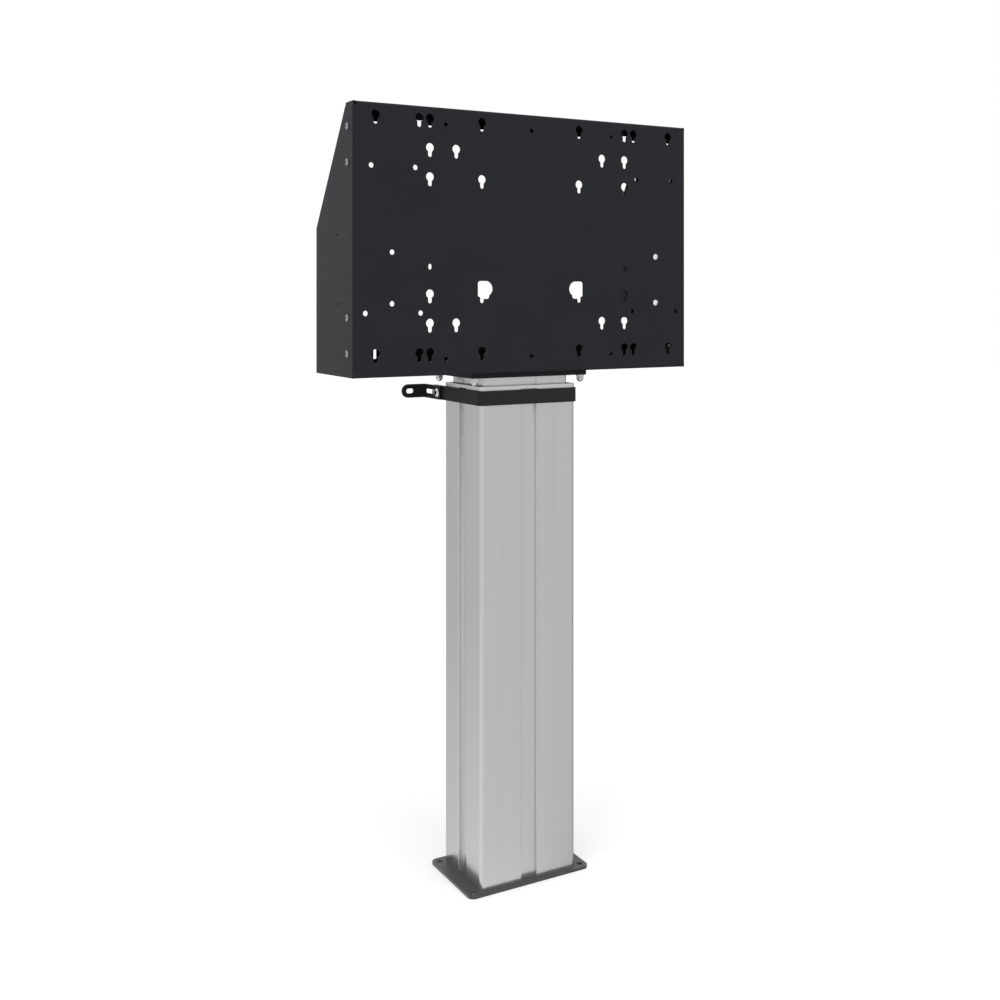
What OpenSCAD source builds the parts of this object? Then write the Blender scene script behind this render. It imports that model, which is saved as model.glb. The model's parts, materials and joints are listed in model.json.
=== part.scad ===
// Motorised display lift: a folded steel display frame on a two-stage aluminium column.
// Origin at the middle of the base plate's underside, X to the right, Y to the wall, Z up.

/* [Base plate] */
// Width of the base plate
base_w = 245; // [240:1:320]
// Depth of the base plate
base_d = 165; // [158:1:240]
// Thickness of the base plate
base_t = 5; // [4.5:0.5:12]
// Corner radius of the base plate
base_r = 12; // [3:1:12]
// Distance between the floor holes, left to right
floor_hole_dx = 220; // [212:1:226]
// Distance between the floor holes, front to back
floor_hole_dy = 136; // [90:1:142]
// Diameter of the floor holes
floor_hole_dia = 11; // [6:0.5:13]

/* [Outer column] */
// Width of the outer column
column_w = 194; // [188:1:200]
// Depth of the outer column
column_d = 146; // [142:1:152]
// Length of the outer column
column_h = 881; // [840:1:960]
// Corner radius of the outer column
column_r = 7; // [6:0.5:10]
// Wall thickness of the outer column
column_wall = 4; // [3.5:0.5:5]
// Width of the groove down the front and the back
groove_w = 31; // [20:1:40]
// Depth of the groove down the front and the back
groove_depth = 6; // [2:0.5:6]
// Width of the groove down each side
side_groove_w = 30; // [20:1:40]
// Depth of the groove down each side
side_groove_depth = 5.5; // [2:0.5:6]
// Radius of the arrises beside the outer column's grooves
groove_arris = 1; // [0.5:0.1:2]
// Distance of each hairline joint mark from the middle of the front
hairline_x = 51; // [30:1:70]
// Width and depth of the hairline marks
hairline = 0.6; // [0.3:0.1:1]
// Height of the collar on top of the outer column
collar_h = 5.5; // [3:0.5:12]
// How far the collar stands out from the column faces
collar_proud = 0.8; // [0:0.1:2]

/* [Inner column] */
// Gap between the outer column's wall and the inner column, all round
glide_gap = 6.5; // [6:0.25:8]
// Length of the inner column
inner_h = 860.3; // [700:1:880]
// Corner radius of the inner column
inner_r = 5; // [4.5:0.5:9]
// Wall thickness of the inner column
inner_wall = 3; // [2.5:0.5:4]
// Width of the inner column's grooves
inner_groove_w = 42; // [30:1:50]
// Depth of the inner column's grooves
inner_groove_depth = 1; // [1:0.5:6]
// Length of the glide pads
glide_h = 60; // [30:1:120]
// Travel of the lift
stroke = 500; // [300:10:520]

/* [Wall bracket] */
// Height of the clamp band round the column
band_h = 25.7; // [20:0.1:40]
// Thickness of the clamp band, the clamp bar and the wall arms
band_t = 4; // [3:0.5:5]
// Distance from the top of the outer column down to the clamp band
band_drop = 1.9; // [0:0.1:30]
// Length of the band's legs behind the column
band_tail = 43.5; // [36:0.5:60]
// Height of the wall arms
arm_h = 25.5; // [18:0.1:40]
// Length of a wall arm from its front end to the wall
arm_len = 73; // [70:0.5:100]
// Width of a wall arm's foot, from the arm's inner face to its tip
arm_foot = 49.2; // [44:0.1:80]
// Distance of the arm's front end behind the outer column
arm_setback = 4.5; // [2:0.5:8]
// Height of the adjusting slot in the arm
arm_slot_w = 8.8; // [8.2:0.1:12]
// Distance of the adjusting slot from the arm's front end
arm_slot_start = 4.5; // [3:0.5:8]
// Length of the adjusting slot
arm_slot_len = 61.5; // [58:0.5:62]
// Height of the screw slot in the arm's foot
foot_slot_w = 9.4; // [5:0.1:12]
// Length of the screw slot in the arm's foot
foot_slot_len = 15.6; // [13:0.1:20]
// Distance of the foot slot's middle from the arm's inner face
foot_slot_x = 33.1; // [20:0.1:36]
// Length of the guide block in the adjusting slot
guide_len = 28; // [20:0.5:34]
// Diameter of the arm screws' heads
arm_head_dia = 16; // [12:0.5:18]

/* [Head plate] */
// Width of the head plate
head_w = 236; // [232:1:300]
// Depth of the head plate
head_d = 161; // [157:1:165]
// Thickness of the head plate
head_t = 8; // [5:0.5:12]
// Clear height between the collar and the head plate
head_gap = 15.8; // [15:0.1:30]
// Distance between the head bolts, left to right
head_bolt_dx = 218; // [212:1:222]
// Distance between the head bolts, front to back
head_bolt_dy = 143; // [136:1:147]
// Diameter of the cable hole
cable_hole_dia = 26; // [10:1:30]
// Distance of the cable hole from the middle
cable_hole_x = 60; // [58:0.5:62]

/* [Display frame] */
// Width of the display frame
frame_w = 680; // [660:1:760]
// Height of the display frame
frame_h = 460; // [456:1:520]
// Depth of the display frame at the bottom
frame_d = 175.6; // [175:0.1:200]
// Depth of the display frame at the top
frame_top_d = 32.3; // [22:0.1:60]
// Height of the upright part of the rear edge
frame_straight_h = 256.2; // [100:0.1:400]
// Thickness of the folded sheet
sheet_t = 3; // [2:0.25:4]
// Outside radius of the folds
bend_r = 4; // [4:0.25:6]
// Height of the lip along the top rear edge
lip_h = 28; // [15:1:40]
// Height of the lip along the bottom rear edge
low_lip_h = 22; // [18:1:30]
// Distance of the front face ahead of the column's middle
frame_front = 83.5; // [82:0.5:100]
// Width of the seam beside the folded corners
seam_w = 0.6; // [0.3:0.1:1.5]
// Radius of the relief holes at the folded corners
relief_r = 2.2; // [1:0.1:4]
// Distance of the notches in the top lip from the middle
notch_x = 211.5; // [100:0.5:260]
// Width of the notches in the top lip
notch_w = 28; // [5:1:60]
// Height of the notches in the top lip
notch_h = 7.5; // [1:0.5:14]

/* [Display holes] */
// Height of the middle of the hole patterns above the frame's bottom
pattern_z = 237.2; // [232:0.1:242]
// Width of the widest hole pattern
wide_dx = 600; // [560:5:620]
// Width of the extra pair of columns in the outer rows
extra_dx = 440; // [439:1:460]
// Width and height of the large square pattern
large_d = 400; // [398:1:402]
// Width and height of the middle square pattern
middle_d = 300; // [295:1:305]
// Width and height of the small square pattern
small_d = 200; // [195:1:205]
// Diameter of a keyhole's head
key_head_dia = 15.5; // [10:0.5:17]
// Width of a keyhole's slot
key_slot_w = 8; // [4:0.5:9]
// Distance of the keyhole's head above its pattern point
key_head_up = 2.8; // [0:0.1:4.5]
// Distance of the slot's end below the pattern point
key_slot_down = 9.4; // [6:0.1:11]
// Diameter of the holes along the middle and the edges
edge_hole_dia = 8; // [3:0.5:10]
// Distance of the edge holes from the middle
edge_hole_x = 170; // [120:1:180]
// Distance of the edge holes from the top and bottom
edge_hole_inset = 28; // [27.5:0.1:40]
// Diameter of the accessory holes
small_hole_dia = 9.3; // [3:0.1:10]
// Radius of the large cut-outs' bulge
cut_bulge_r = 13.5; // [8:0.5:14]
// Height of the large cut-outs' square side
cut_h = 31.3; // [27:0.1:34]
// Distance of the large cut-outs' straight edge from the middle
cut_edge_x = 108.5; // [106:0.5:112]
// Distance of the large cut-outs' top below the pattern's middle
cut_top_down = 74.6; // [70:0.1:80]
// Width of the square part under the large cut-outs' bulge
cut_foot_w = 23.6; // [20:0.1:25]
// Corner radius of the large cut-outs
cut_r = 4.5; // [3:0.1:5]

/* [Side screws] */
// Distance of the side screws behind the front face
side_screw_y = 26.3; // [14:0.1:28]
// Distance of the outer side screws from the top and bottom
side_screw_end = 40; // [34:0.5:44]
// Distance between the two side screws of a pair
side_screw_pitch = 60; // [30:0.5:80]
// Diameter of the side screws' heads
side_head_dia = 12.5; // [9:0.5:16]
// Length of the threaded spacers inside
spacer_len = 12; // [4:1:20]
// Diameter of the threaded spacers
spacer_dia = 13; // [8:0.5:16]

/* [Rear brace] */
// Gap between the rear brace and each side panel
brace_gap = 5; // [1:0.5:12]
// Height of the rear brace
brace_h = 50; // [36:1:60]
// Depth of the brace's foot
brace_foot = 38; // [30:1:39]
// Thickness of the rear brace
brace_t = 3; // [2:0.25:4]
// Distance between the rivets of the rear brace
rivet_dx = 560; // [500:1:590]
// Distance of the upright slots in the brace from the middle
brace_slot_x = 230.8; // [200:0.1:250]
// Length of the upright slots in the brace
brace_slot_len = 28; // [16:0.5:30]
// Width of the upright slots in the brace
brace_slot_w = 6.5; // [4:0.5:9]

/* [Control box] */
// Distance of the control bracket's screws from the frame's side
control_x = 70; // [68:0.5:72]
// Distance of the bracket's upper screw below the pattern's middle
control_screw_down = 27; // [20:0.5:40]
// Distance between the two bracket screws
control_screw_pitch = 86.8; // [70:0.1:90]
// Thickness of the control bracket
control_plate_t = 2; // [1.5:0.25:3]
// Width of the control box
box_w = 76; // [70:1:80]
// Height of the control box
box_h = 236; // [200:1:240]
// Depth of the control box
box_d = 50; // [30:1:60]
// Height of the control box's feet
box_foot_h = 9; // [8:0.5:14]
// Corner radius of the control box
box_r = 6; // [2:0.5:10]

/* [Drive] */
// Diameter of the lifting spindle
spindle_dia = 20; // [16:1:24]
// Outside diameter of the push tube
tube_dia = 50; // [46:1:56]
// Wall thickness of the push tube
tube_wall = 5; // [2:0.5:6]
// Distance of the push tube's top below the head plate
tube_top_drop = 207.3; // [200:1:260]
// Length of the drive nut
nut_h = 30; // [20:1:60]
// Diameter of the motor
motor_dia = 60; // [45:1:64]
// Length of the motor
motor_h = 120; // [80:1:125]
// Width of the square gearbox
gearbox_w = 66; // [58:1:68]
// Height of the gearbox
gearbox_h = 40; // [30:1:42]
// Width of the square bearing plate
bearing_plate_w = 102; // [98:1:104]
// Thickness of the bearing plate
bearing_plate_t = 12; // [8:0.5:16]
// Distance of the bearing plate's standoffs from the middle, both ways
standoff_x = 42; // [41.5:0.5:43]
// Diameter of the standoffs
standoff_dia = 12; // [10:0.5:12]

/* [Hidden] */

// Smoothness of the round shapes
$fn = 64;
// Overshoot of a cut beyond the face that it leaves
over = 1;

// Clearances between pieces that slide or turn on each other
slide_gap = 0.3;
running_gap = 0.05;

// Screw sizes
m4 = 4;
m5 = 5;
m6 = 6;
m8 = 8;
m6_nut_af = 10;
m6_nut_h = 5;
m8_nut_af = 13;
play = 0.4;
head_washer_t = 1.6;
cap_bore = 8;
// Depth that a screw reaches into its threaded piece
bite = 16;

// Column sections
column = [column_w, column_d];
inner = [column_w - 2 * (column_wall + glide_gap), column_d - 2 * (column_wall + glide_gap)];
groove = [groove_w, groove_depth];
side_groove = [side_groove_w, side_groove_depth];
inner_groove = [inner_groove_w, inner_groove_depth];
port_wall = 1.5;
port_r = m5 / 2 + port_wall;
port_inset = column_wall + port_r - port_wall / 2;
inner_port_wall = 2;
inner_port_r = m6 / 2 + inner_port_wall;
inner_port_inset = inner_wall + inner_port_r - inner_port_wall / 2;
port_x = column_w / 2 - port_inset;
port_y = column_d / 2 - port_inset;
inner_port_x = inner[0] / 2 - inner_port_inset;
inner_port_y = inner[1] / 2 - inner_port_inset;

// Heights above the floor
column_z = base_t;
column_top = column_z + column_h;
collar_top = column_top + collar_h;
head_z = collar_top + head_gap;
head_top = head_z + head_t;
inner_z = head_z - inner_h;
band_z = column_top - band_drop - band_h;
bracket_z = band_z + band_h / 2;
frame_z = head_top;
frame_top = frame_z + frame_h;
pattern = frame_z + pattern_z;
tube_top = head_z - tube_top_drop;
nut_z = tube_top - nut_h;
bearing_rise = 24;
bearing_z = tube_top + bearing_rise;
gearbox_z = bearing_z + bearing_plate_t;
motor_z = gearbox_z + gearbox_h;
spindle_tail = 40;
spindle_head = 22;
motor_cap_h = 12;
spindle_z = nut_z - stroke - spindle_tail;

// Depths, with Y towards the wall
band_end = column_d / 2 + band_tail;
arm_y = column_d / 2 + arm_setback;
arm_in = column_w / 2 + band_t + slide_gap;
guide_y = arm_y + arm_slot_start + slide_gap;
guide_h = arm_slot_w - 2 * slide_gap;
guide_t = band_t + 2 * slide_gap;
arm_screw_y = guide_y + guide_h / 2;
frame_rear = frame_d - frame_front;
frame_top_rear = frame_top_d - frame_front;
plate_back = sheet_t - frame_front;
side_screw_row = side_screw_y - frame_front;
side_screw_levels = [
  frame_top - side_screw_end,
  frame_top - side_screw_end - side_screw_pitch,
  frame_z + side_screw_end + side_screw_pitch,
  frame_z + side_screw_end
];

// Keyhole columns of each row, as half spacings
outer_row = [small_d / 2, large_d / 2, extra_dx / 2, wide_dx / 2];
middle_row = [middle_d / 2, large_d / 2];
upper_row = [small_d / 2, large_d / 2];
lower_row = [large_d / 2];

// Control box places
control_mid_x = frame_w / 2 - control_x;
control_top_z = pattern - control_screw_down;
control_low_z = control_top_z - control_screw_pitch;
box_in = 8;
box_rise = 52.4;
box_x = control_mid_x - box_in;
box_z = (control_top_z + control_low_z) / 2 + box_rise;
box_back = plate_back + control_plate_t + box_foot_h;
box_edge = 8;
box_screw_dx = box_w - 2 * box_edge;
box_screw_dz = box_h + 18;
box_flange_t = 3;
box_split = 0.6;
box_socket_y = box_back + 0.75 * box_d;

// Openings of the front plate about the middle of the patterns, on its right half
accessory_holes = [[307.6, 117.4], [227.4, 117.4], [317.9, -129.7], [217.4, -129.7]];
tie_slot = [10, 7];
tie_slot_down = 50.7;
cut_bulge_in = 16.5;

// Small holes of the side panels, behind the front face and above the patterns' middle
side_holes = [[74, 3.5], [66.5, -114.5]];

// Rivets of the rear brace
rivet_xs = [-rivet_dx / 2, -rivet_dx / 6, rivet_dx / 6, rivet_dx / 2];
rivet_z = frame_z + sheet_t + low_lip_h / 2;
rivet_head_dia = 9.5;

// Flange of the push tube's foot, its thickness and its screw circle
tube_flange = 22;
tube_foot_t = 8;
tube_screw_r = tube_dia / 2 + 13;
bore_dia = spindle_dia + 2 * running_gap;
bearing_dia = spindle_dia + 22;

// Two dimensional helpers

// Rounded rectangle about the origin
module rounded_rect(w, d, r) {
  square([w - 2 * r, d], center = true);
  square([w, d - 2 * r], center = true);
  for (sx = [-1, 1], sy = [-1, 1])
    translate([sx * (w / 2 - r), sy * (d / 2 - r)])
      circle(r = r);
}

// Slot with round ends along the first axis
module slot_2d(length, w) {
  square([length - w, w], center = true);
  for (s = [-1, 1])
    translate([s * (length - w) / 2, 0])
      circle(d = w);
}

// Sheet folded at right angles, all folds to the left, with its outer face on the path
module folded_strip(lengths, t, r, i = 0) {
  square([lengths[i], t]);
  if (i < len(lengths) - 1)
    translate([lengths[i], 0]) {
      intersection() {
        square([r, r]);
        translate([0, r])
          difference() {
            circle(r = r);
            circle(r = r - t);
          }
      }
      translate([r, r])
        rotate(90)
          folded_strip(lengths, t, r, i + 1);
    }
}

// Groove that opens both ways from its mouth along X, with rounded arrises
module groove_2d(width, depth, arris) {
  square([width, 2 * depth], center = true);
  if (arris > 0)
    difference() {
      square([width + 2 * arris, 2 * arris], center = true);
      for (sx = [-1, 1], sy = [-1, 1])
        translate([sx * (width / 2 + arris), sy * arris])
          circle(r = arris);
    }
}

// Outline of an extruded column with a groove down each face
module column_outline(size, r, front, side, grow = 0, arris = 0) {
  difference() {
    rounded_rect(size[0] + 2 * grow, size[1] + 2 * grow, r + grow);
    for (s = [-1, 1]) {
      translate([0, s * size[1] / 2])
        groove_2d(front[0] - 2 * grow, front[1] - grow, arris);
      translate([s * size[0] / 2, 0])
        rotate(90)
          groove_2d(side[0] - 2 * grow, side[1] - grow, arris);
    }
  }
}

// Hollow of an extruded column, narrower behind its grooves and round its screw ports
module column_hollow(size, r, wall, front, side, inset, boss_r, shrink = 0) {
  w = wall + shrink;
  difference() {
    rounded_rect(size[0] - 2 * w, size[1] - 2 * w, max(0.5, r - w));
    for (s = [-1, 1]) {
      translate([0, s * size[1] / 2])
        square([front[0] + 2 * w, 2 * (front[1] + w)], center = true);
      translate([s * size[0] / 2, 0])
        square([2 * (side[1] + w), side[0] + 2 * w], center = true);
    }
    at_corners(size[0] / 2 - inset, size[1] / 2 - inset)
      circle(r = boss_r + shrink);
  }
}

// Hollow of the outer column, less a clearance
module outer_hollow(shrink = 0) {
  column_hollow(column, column_r, column_wall, groove, side_groove,
    port_inset, port_r, shrink);
}

// Outline of the inner column, plus a clearance
module inner_outline(grow = 0) {
  column_outline(inner, inner_r, inner_groove, inner_groove, grow);
}

// Three dimensional helpers

// Copies at the four corners of a rectangle
module at_corners(x, y) {
  for (sx = [-1, 1], sy = [-1, 1])
    translate([sx * x, sy * y])
      children();
}

// Extrusion from one height to another
module between(low, high) {
  translate([0, 0, low])
    linear_extrude(high - low)
      children();
}

// Shape in the X and Z plane made solid towards -Y from a plane of constant Y
module facing_front(y, t) {
  translate([0, y, 0])
    rotate([90, 0, 0])
      linear_extrude(t)
        children();
}

// Shape in the Y and Z plane made solid across the middle plane
module across(w) {
  rotate([90, 0, 90])
    linear_extrude(w, center = true)
      children();
}

// Hexagonal prism by its width across flats
module hex(af, h) {
  cylinder(d = af / cos(30), h = h, $fn = 6);
}

// Countersunk screw with its head's face at the origin and its shank along -Z
module countersunk_screw(d, length) {
  difference() {
    union() {
      translate([0, 0, -d / 2])
        cylinder(d1 = d, d2 = 2 * d, h = d / 2);
      translate([0, 0, -length])
        cylinder(d = d, h = length - d / 2);
    }
    translate([0, 0, -d / 4])
      hex(0.6 * d, d / 4 + over);
  }
}

// Hole for a countersunk screw through a plate whose face is at the origin
module countersunk_hole(d, t) {
  translate([0, 0, -d / 2])
    cylinder(d1 = d, d2 = 2 * d, h = d / 2);
  translate([0, 0, -over / 100])
    cylinder(d = 2 * d, h = over);
  translate([0, 0, -t - over])
    cylinder(d = d + play, h = t + over);
}

// Low round head with a hexagonal socket, its seat at the origin and its shank along -Z
module round_head_screw(d, head_d, head_h, length, socket = 0) {
  difference() {
    union() {
      intersection() {
        cylinder(d = head_d, h = head_h);
        translate([0, 0, head_h - head_d * 0.8])
          sphere(r = head_d * 0.8);
      }
      translate([0, 0, -length])
        cylinder(d = d, h = length);
    }
    translate([0, 0, head_h * 0.4])
      hex(socket > 0 ? socket : 0.62 * d, head_h);
  }
}

// Plain washer
module washer(d, outer, t) {
  difference() {
    cylinder(d = outer, h = t);
    translate([0, 0, -over])
      cylinder(d = d, h = t + 2 * over);
  }
}

// Hexagonal nut
module nut(d, af, h) {
  difference() {
    hex(af, h);
    translate([0, 0, -over])
      cylinder(d = d, h = h + 2 * over);
  }
}

// Base plate and outer column

module base_plate() {
  color("#3c3d41")
    difference() {
      between(0, base_t)
        rounded_rect(base_w, base_d, base_r);
      between(-over, base_t + over)
        at_corners(floor_hole_dx / 2, floor_hole_dy / 2)
          circle(d = floor_hole_dia);
      mirror([0, 0, 1]) {
        at_corners(port_x, port_y)
          countersunk_hole(m5, base_t);
        tube_screw_places()
          countersunk_hole(m6, base_t);
      }
    }
}

module base_screws() {
  color("#26272a")
    mirror([0, 0, 1])
      at_corners(port_x, port_y)
        countersunk_screw(m5, base_t + bite);
}

module outer_column() {
  color("#b4b6b8")
    difference() {
      between(column_z, column_top)
        difference() {
          column_outline(column, column_r, groove, side_groove, arris = groove_arris);
          outer_hollow();
          at_corners(hairline_x, column_d / 2)
            square([hairline, 2 * hairline], center = true);
        }
      between(column_z - over, column_top + over)
        at_corners(port_x, port_y)
          circle(d = m5);
    }
}

module column_collar() {
  peg_h = 10;
  color("#c9cbcd") {
    between(column_top, collar_top)
      difference() {
        rounded_rect(column_w + 2 * collar_proud, column_d + 2 * collar_proud,
          column_r + collar_proud);
        outer_hollow();
      }
    between(column_top - peg_h, column_top)
      at_corners(port_x, port_y)
        circle(d = m5);
  }
}

module front_glide() {
  front_reach = 0.25 * inner[1] / 2;
  color("#8d8f92")
    between(column_top - glide_h, collar_top - over)
      intersection() {
        difference() {
          outer_hollow();
          inner_outline(slide_gap);
        }
        translate([-column_w / 2, -column_d / 2])
          square([column_w, column_d / 2 - front_reach]);
      }
}

module rear_glide() {
  rear_glide_w = 0.8 * inner[0];
  color("#8d8f92")
    between(column_top - glide_h, column_top - 2 * over)
      intersection() {
        difference() {
          outer_hollow();
          inner_outline(slide_gap);
        }
        translate([-rear_glide_w / 2, 0])
          square([rear_glide_w, column_d / 2]);
      }
}

// Wall bracket

module clamp_band() {
  outer_r = column_r + band_t;
  leg = column_d / 2 + band_t + band_end;
  color("#26272a")
    difference() {
      between(band_z, band_z + band_h)
        translate([-column_w / 2 - band_t, band_end])
          rotate(-90)
            folded_strip([leg - outer_r, column_w + 2 * band_t - 2 * outer_r, leg - outer_r],
              band_t, outer_r);
      arm_screw_holes();
    }
}

module clamp_bar() {
  outer_r = band_t + 1;
  color("#26272a")
    difference() {
      between(band_z, band_z + band_h)
        translate([-column_w / 2, band_end])
          rotate(-90)
            folded_strip([band_tail - outer_r, column_w - 2 * outer_r, band_tail - outer_r],
              band_t, outer_r);
      arm_screw_holes();
    }
}

module arm_screw_holes() {
  across(column_w + 2 * band_t + 2 * over)
    translate([arm_screw_y, bracket_z])
      circle(d = m6 + play);
}

module arm_guides() {
  color("#a9abad")
    for (s = [-1, 1])
      translate([s * (column_w / 2 + band_t + guide_t / 2), 0, 0])
        difference() {
          across(guide_t)
            translate([guide_y + guide_len / 2, bracket_z])
              slot_2d(guide_len, guide_h);
          across(guide_t + 2 * over)
            translate([arm_screw_y, bracket_z])
              circle(d = m6 + play);
        }
}

module arm_screws() {
  head_h = 4.5;
  socket = 7;
  grip = guide_t + 2 * band_t;
  color("#b9bbbd")
    for (s = [-1, 1])
      translate([s * (column_w / 2 + band_t + guide_t), arm_screw_y, bracket_z])
        rotate([0, s * 90, 0])
          round_head_screw(m6, arm_head_dia, head_h, grip + m6, socket);
}

module arm_nuts() {
  color("#b9bbbd")
    for (s = [-1, 1])
      translate([s * (column_w / 2 - band_t - m6_nut_h), arm_screw_y, bracket_z])
        rotate([0, s * 90, 0])
          nut(m6, m6_nut_af, m6_nut_h);
}

// Left arm; the right arm is its mirror image
module wall_arm() {
  outer_r = band_t + 2;
  arm_low = bracket_z - arm_h / 2;
  arm_end = arm_y + arm_len;
  color("#26272a")
    difference() {
      intersection() {
        between(arm_low, arm_low + arm_h)
          translate([-arm_in, arm_y])
            rotate(90)
              folded_strip([arm_len - outer_r, arm_foot - outer_r], band_t, outer_r);
        union() {
          facing_front(arm_end + over, 2 * band_t + over)
            translate([-arm_in - arm_foot / 2 + arm_h / 2, bracket_z])
              slot_2d(arm_foot + arm_h, arm_h);
          translate([-arm_in - 2 * band_t, arm_y, arm_low])
            cube([3 * band_t, arm_len - band_t, arm_h]);
        }
        translate([-arm_in - arm_foot, arm_y, arm_low])
          cube([arm_foot, arm_len, arm_h]);
      }
      facing_front(arm_end + over, band_t + 2 * over)
        translate([-arm_in - foot_slot_x, bracket_z])
          slot_2d(foot_slot_len, foot_slot_w);
      translate([-arm_in - band_t / 2, 0, 0])
        across(band_t + 2 * over)
          translate([arm_y + arm_slot_start + arm_slot_len / 2, bracket_z])
            slot_2d(arm_slot_len, arm_slot_w);
    }
}

module left_wall_arm() {
  wall_arm();
}

module right_wall_arm() {
  mirror([1, 0, 0])
    wall_arm();
}

// Push tube and drive nut

module tube_screw_places() {
  for (a = [45:90:315])
    rotate(a)
      translate([tube_screw_r, 0, 0])
        children();
}

module push_tube() {
  color("#7d8084")
    difference() {
      union() {
        between(column_z, column_z + tube_foot_t)
          circle(d = tube_dia + 2 * tube_flange);
        between(column_z, tube_top)
          circle(d = tube_dia);
      }
      between(column_z - over, tube_top + over)
        circle(d = tube_dia - 2 * tube_wall);
      between(column_z - over, column_z + tube_foot_t + over)
        tube_screw_places()
          circle(d = m6);
      nut_pin_places()
        cylinder(d = m6, h = tube_dia);
    }
}

module tube_screws() {
  color("#b9bbbd")
    mirror([0, 0, 1])
      tube_screw_places()
        countersunk_screw(m6, base_t + tube_foot_t);
}

module drive_nut() {
  color("#b08d4f")
    difference() {
      between(nut_z, tube_top)
        circle(d = tube_dia - 2 * tube_wall);
      between(nut_z - over, tube_top + over)
        circle(d = bore_dia);
      nut_pin_places()
        cylinder(d = m6, h = tube_dia);
    }
}

// Places of the two radial pins, from the middle of the nut's wall outwards
module nut_pin_places() {
  pin_start = (bore_dia + tube_dia - 2 * tube_wall) / 4;
  for (a = [0, 180])
    translate([0, 0, nut_z + nut_h / 2])
      rotate([0, 90, a])
        translate([0, 0, pin_start])
          children();
}

module nut_pins() {
  pin_start = (bore_dia + tube_dia - 2 * tube_wall) / 4;
  color("#b9bbbd")
    nut_pin_places()
      cylinder(d = m6, h = tube_dia / 2 - pin_start - play);
}

// Lifting column and head plate

module inner_column() {
  color("#b4b6b8")
    difference() {
      between(inner_z, head_z)
        difference() {
          inner_outline();
          column_hollow(inner, inner_r, inner_wall, inner_groove, inner_groove,
            inner_port_inset, inner_port_r);
        }
      between(inner_z - over, head_z + over)
        at_corners(inner_port_x, inner_port_y)
          circle(d = m6);
    }
}

module lower_glides() {
  color("#8d8f92")
    between(inner_z, inner_z + glide_h)
      difference() {
        outer_hollow(slide_gap);
        inner_outline();
      }
}

module head_plate() {
  color("#2a2b2e")
    difference() {
      between(head_z, head_top)
        rounded_rect(head_w, head_d, 3);
      between(head_z - over, head_top + over) {
        at_corners(head_bolt_dx / 2, head_bolt_dy / 2)
          circle(d = m8 + play);
        translate([-cable_hole_x, 0])
          circle(d = cable_hole_dia);
      }
      translate([0, 0, head_top]) {
        at_corners(inner_port_x, inner_port_y)
          countersunk_hole(m6, head_t);
        at_corners(standoff_x, standoff_x)
          countersunk_hole(m6, head_t);
      }
    }
}

module column_screws() {
  color("#b9bbbd")
    translate([0, 0, head_top])
      at_corners(inner_port_x, inner_port_y)
        countersunk_screw(m6, head_t + bite);
}

// Bolts from inside the frame; the rear pair also holds the foot of the rear brace
module head_bolts() {
  color("#b9bbbd")
    for (sx = [-1, 1], sy = [-1, 1]) {
      seat = head_top + sheet_t + (sy > 0 ? brace_t : 0);
      end = head_z - head_washer_t - cap_bore;
      translate([sx * head_bolt_dx / 2, sy * head_bolt_dy / 2, 0]) {
        translate([0, 0, seat])
          hex(m8_nut_af, m5);
        translate([0, 0, end])
          cylinder(d = m8, h = seat + over - end);
      }
    }
}

module head_washers() {
  color("#c4c6c8")
    at_corners(head_bolt_dx / 2, head_bolt_dy / 2)
      translate([0, 0, head_z - head_washer_t])
        washer(m8, 2 * m8, head_washer_t);
}

module head_cap_nuts() {
  cap_h = 12;
  hex_h = 6;
  dome_r = 6.2;
  color("#c4c6c8")
    at_corners(head_bolt_dx / 2, head_bolt_dy / 2)
      translate([0, 0, head_z - head_washer_t])
        mirror([0, 0, 1])
          difference() {
            union() {
              hex(m8_nut_af, hex_h);
              translate([0, 0, cap_h - dome_r])
                sphere(r = dome_r);
            }
            translate([0, 0, -over])
              cylinder(d = m8, h = cap_bore + over);
          }
}

// Display frame

// Two dimensional keyhole about its pattern point, head up
module keyhole_2d() {
  translate([0, key_head_up])
    circle(d = key_head_dia);
  translate([-key_slot_w / 2, -key_slot_down])
    square([key_slot_w, key_slot_down + key_head_up]);
  translate([0, -key_slot_down])
    circle(d = key_slot_w);
}

module keyhole_row(half_spacings, z) {
  for (x = half_spacings, s = [-1, 1])
    translate([s * x, z])
      keyhole_2d();
}

// Large cut-out on the right: a keyhole opened upwards by a round bulge and a square part
module cut_out_2d() {
  top = -cut_top_down;
  bulge_x = cut_edge_x - cut_bulge_in;
  translate([small_d / 2, -small_d / 2])
    keyhole_2d();
  translate([bulge_x, top - cut_bulge_r])
    circle(r = cut_bulge_r);
  translate([cut_edge_x - cut_foot_w / 2, top - cut_h / 2])
    difference() {
      rounded_rect(cut_foot_w, cut_h, cut_r);
      translate([cut_foot_w / 2 - cut_r, -cut_h / 2])
        square([cut_r, cut_r]);
    }
}

// All openings of the front plate, about the middle of the hole patterns
module front_openings_2d() {
  keyhole_row(outer_row, large_d / 2);
  keyhole_row(middle_row, middle_d / 2);
  keyhole_row(upper_row, small_d / 2);
  keyhole_row(lower_row, -small_d / 2);
  keyhole_row(middle_row, -middle_d / 2);
  keyhole_row(outer_row, -large_d / 2);
  for (s = [-1, 1])
    mirror([s > 0 ? 0 : 1, 0]) {
      cut_out_2d();
      for (place = accessory_holes)
        translate(place)
          circle(d = small_hole_dia);
      translate([large_d / 2, -tie_slot_down])
        rotate(90)
          slot_2d(tie_slot[0], tie_slot[1]);
    }
}

module frame_edge_holes_2d() {
  for (x = [-edge_hole_x, 0, edge_hole_x], z = [edge_hole_inset, frame_h - edge_hole_inset])
    translate([x, frame_z + z])
      circle(d = edge_hole_dia);
}

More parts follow.
